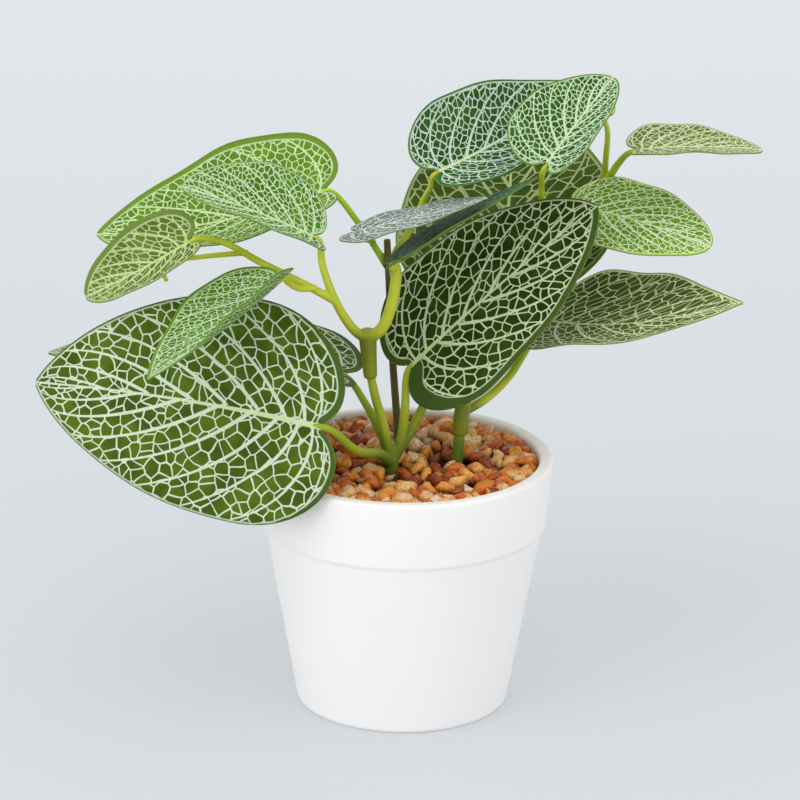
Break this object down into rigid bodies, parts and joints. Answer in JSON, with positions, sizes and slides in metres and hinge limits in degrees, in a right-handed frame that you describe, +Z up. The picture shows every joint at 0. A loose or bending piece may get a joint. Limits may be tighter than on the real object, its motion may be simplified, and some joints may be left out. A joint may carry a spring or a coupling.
{
  "type": "potted nerve plant",
  "caption": "Artificial nerve plant with net-veined heart-shaped leaves on branching stems, set in gravel in a tapered pot with a broad rim band.",
  "frame": {"origin": "centre of the pot's base, on the surface it stands on", "axes": "+Z up, X across the usual front view, -Y towards the viewer"},
  "size_m": [0.2177, 0.1711, 0.1918],
  "materials": {
    "pot": "matt white moulded plastic",
    "filler": "rigid foam plug",
    "gravel": "dry orange-brown stone chips",
    "stem_green": "satin moulded plastic",
    "stem_pale": "satin moulded plastic",
    "stem_brown": "satin moulded plastic",
    "leaf": "satin printed leaf with pale veins"
  },
  "bodies": {
    "root": {"pot": "pot", "filler": "filler", "gravel": "gravel", "spray_centre_lower": "stem_green", "spray_centre_upper": "stem_pale", "stem_back": "stem_brown", "spray_right_lower": "stem_green", "spray_right_upper": "stem_pale", "leaf_front_left": "leaf", "leaf_low_left": "leaf", "leaf_left_drooping": "leaf", "leaf_left_end": "leaf", "leaf_left_wide": "leaf", "leaf_left_upper": "leaf", "leaf_centre": "leaf", "leaf_centre_left_flat": "leaf", "leaf_centre_right_flat": "leaf", "leaf_top_middle": "leaf", "leaf_top": "leaf", "leaf_back": "leaf", "leaf_right_upper": "leaf", "leaf_right_middle": "leaf", "leaf_right_lower": "leaf", "leaf_top_back": "leaf"}
  },
  "joints": []
}
